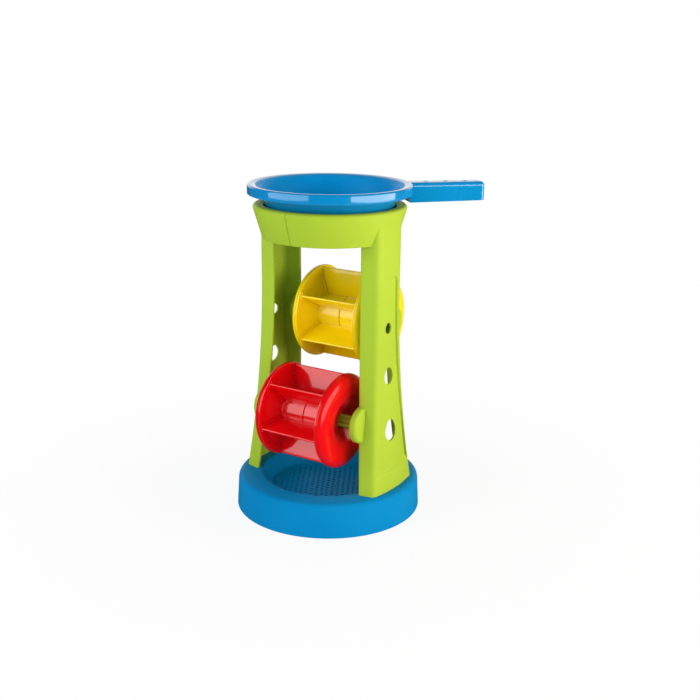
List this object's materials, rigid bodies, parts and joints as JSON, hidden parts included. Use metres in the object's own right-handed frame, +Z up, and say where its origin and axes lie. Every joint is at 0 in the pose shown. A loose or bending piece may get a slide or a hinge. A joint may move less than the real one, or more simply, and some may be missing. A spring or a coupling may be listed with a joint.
{
  "type": "sand wheel toy",
  "caption": "Sand mill toy: a sieve pan on a two-legged tower feeds paddle wheels, one above the other, over a round base with a sieve floor.",
  "frame": {"origin": "centre of the plane that the base stands on", "axes": "+Z up, X along the wheels' axles from leg to leg, -Y the front, where the lower wheel is"},
  "size_m": [0.2158, 0.2158, 0.3424],
  "materials": {
    "base_blue": "satin",
    "pan_blue": "glossy",
    "tower_green": "satin",
    "axle_green": "satin",
    "wheel_yellow": "glossy",
    "wheel_red": "glossy"
  },
  "bodies": {
    "tower": {"base": "base_blue", "base_sieve": "base_blue", "tower_left": "tower_green", "tower_right": "tower_green"},
    "upper_wheel": {"upper_drum_left": "wheel_yellow", "upper_drum_right": "wheel_yellow", "upper_cap_left": "wheel_yellow", "upper_cap_right": "wheel_yellow", "upper_axle": "axle_green"},
    "lower_wheel": {"lower_drum_left": "wheel_red", "lower_drum_right": "wheel_red", "lower_cap_left": "wheel_red", "lower_cap_right": "wheel_red", "lower_axle": "axle_green"},
    "pan": {"sieve_pan": "pan_blue"}
  },
  "joints": [
    {"name": "upper_wheel_spin", "type": "hinge", "parent": "tower", "child": "upper_wheel", "pos_m": [0, 0.03, 0.2013], "axis": [1, 0, 0], "continuous": true},
    {"name": "lower_wheel_spin", "type": "hinge", "parent": "tower", "child": "lower_wheel", "pos_m": [0, -0.03, 0.107], "axis": [1, 0, 0], "continuous": true},
    {"name": "pan_lift", "type": "slide", "parent": "tower", "child": "pan", "axis": [0, 0, 1], "range_m": [0, 0.08]}
  ]
}
